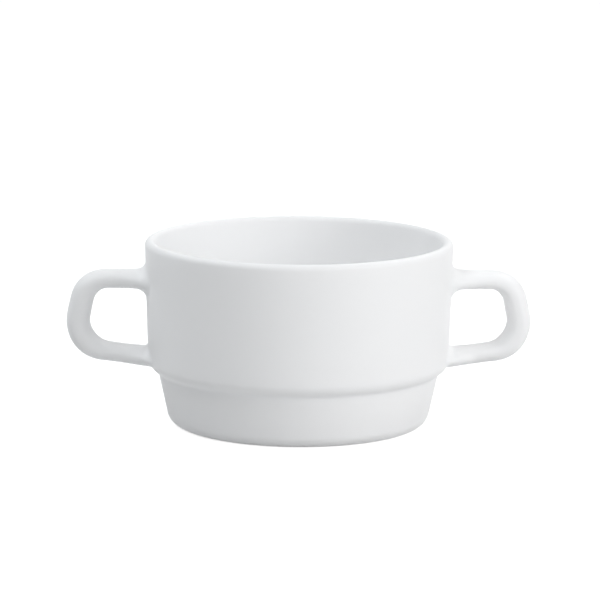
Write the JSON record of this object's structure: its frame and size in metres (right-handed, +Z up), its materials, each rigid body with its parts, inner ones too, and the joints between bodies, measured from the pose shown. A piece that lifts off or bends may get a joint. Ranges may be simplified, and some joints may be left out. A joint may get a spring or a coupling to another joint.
{
  "type": "stackable soup cup",
  "caption": "Low round white soup cup with a rounded lip, a stepped stacking foot and a loop handle on each side, which nests on the lip of a like cup.",
  "frame": {"origin": "centre of the standing ring, on the surface that the cup stands on", "axes": "+Z up along the bowl's axis, +X out through the right handle, +Y to the back"},
  "size_m": [0.1506, 0.0998, 0.0603],
  "materials": {
    "white_glaze": "gloss"
  },
  "bodies": {
    "root": {"cup_body": "white_glaze", "handle_left": "white_glaze", "handle_right": "white_glaze"}
  },
  "joints": []
}
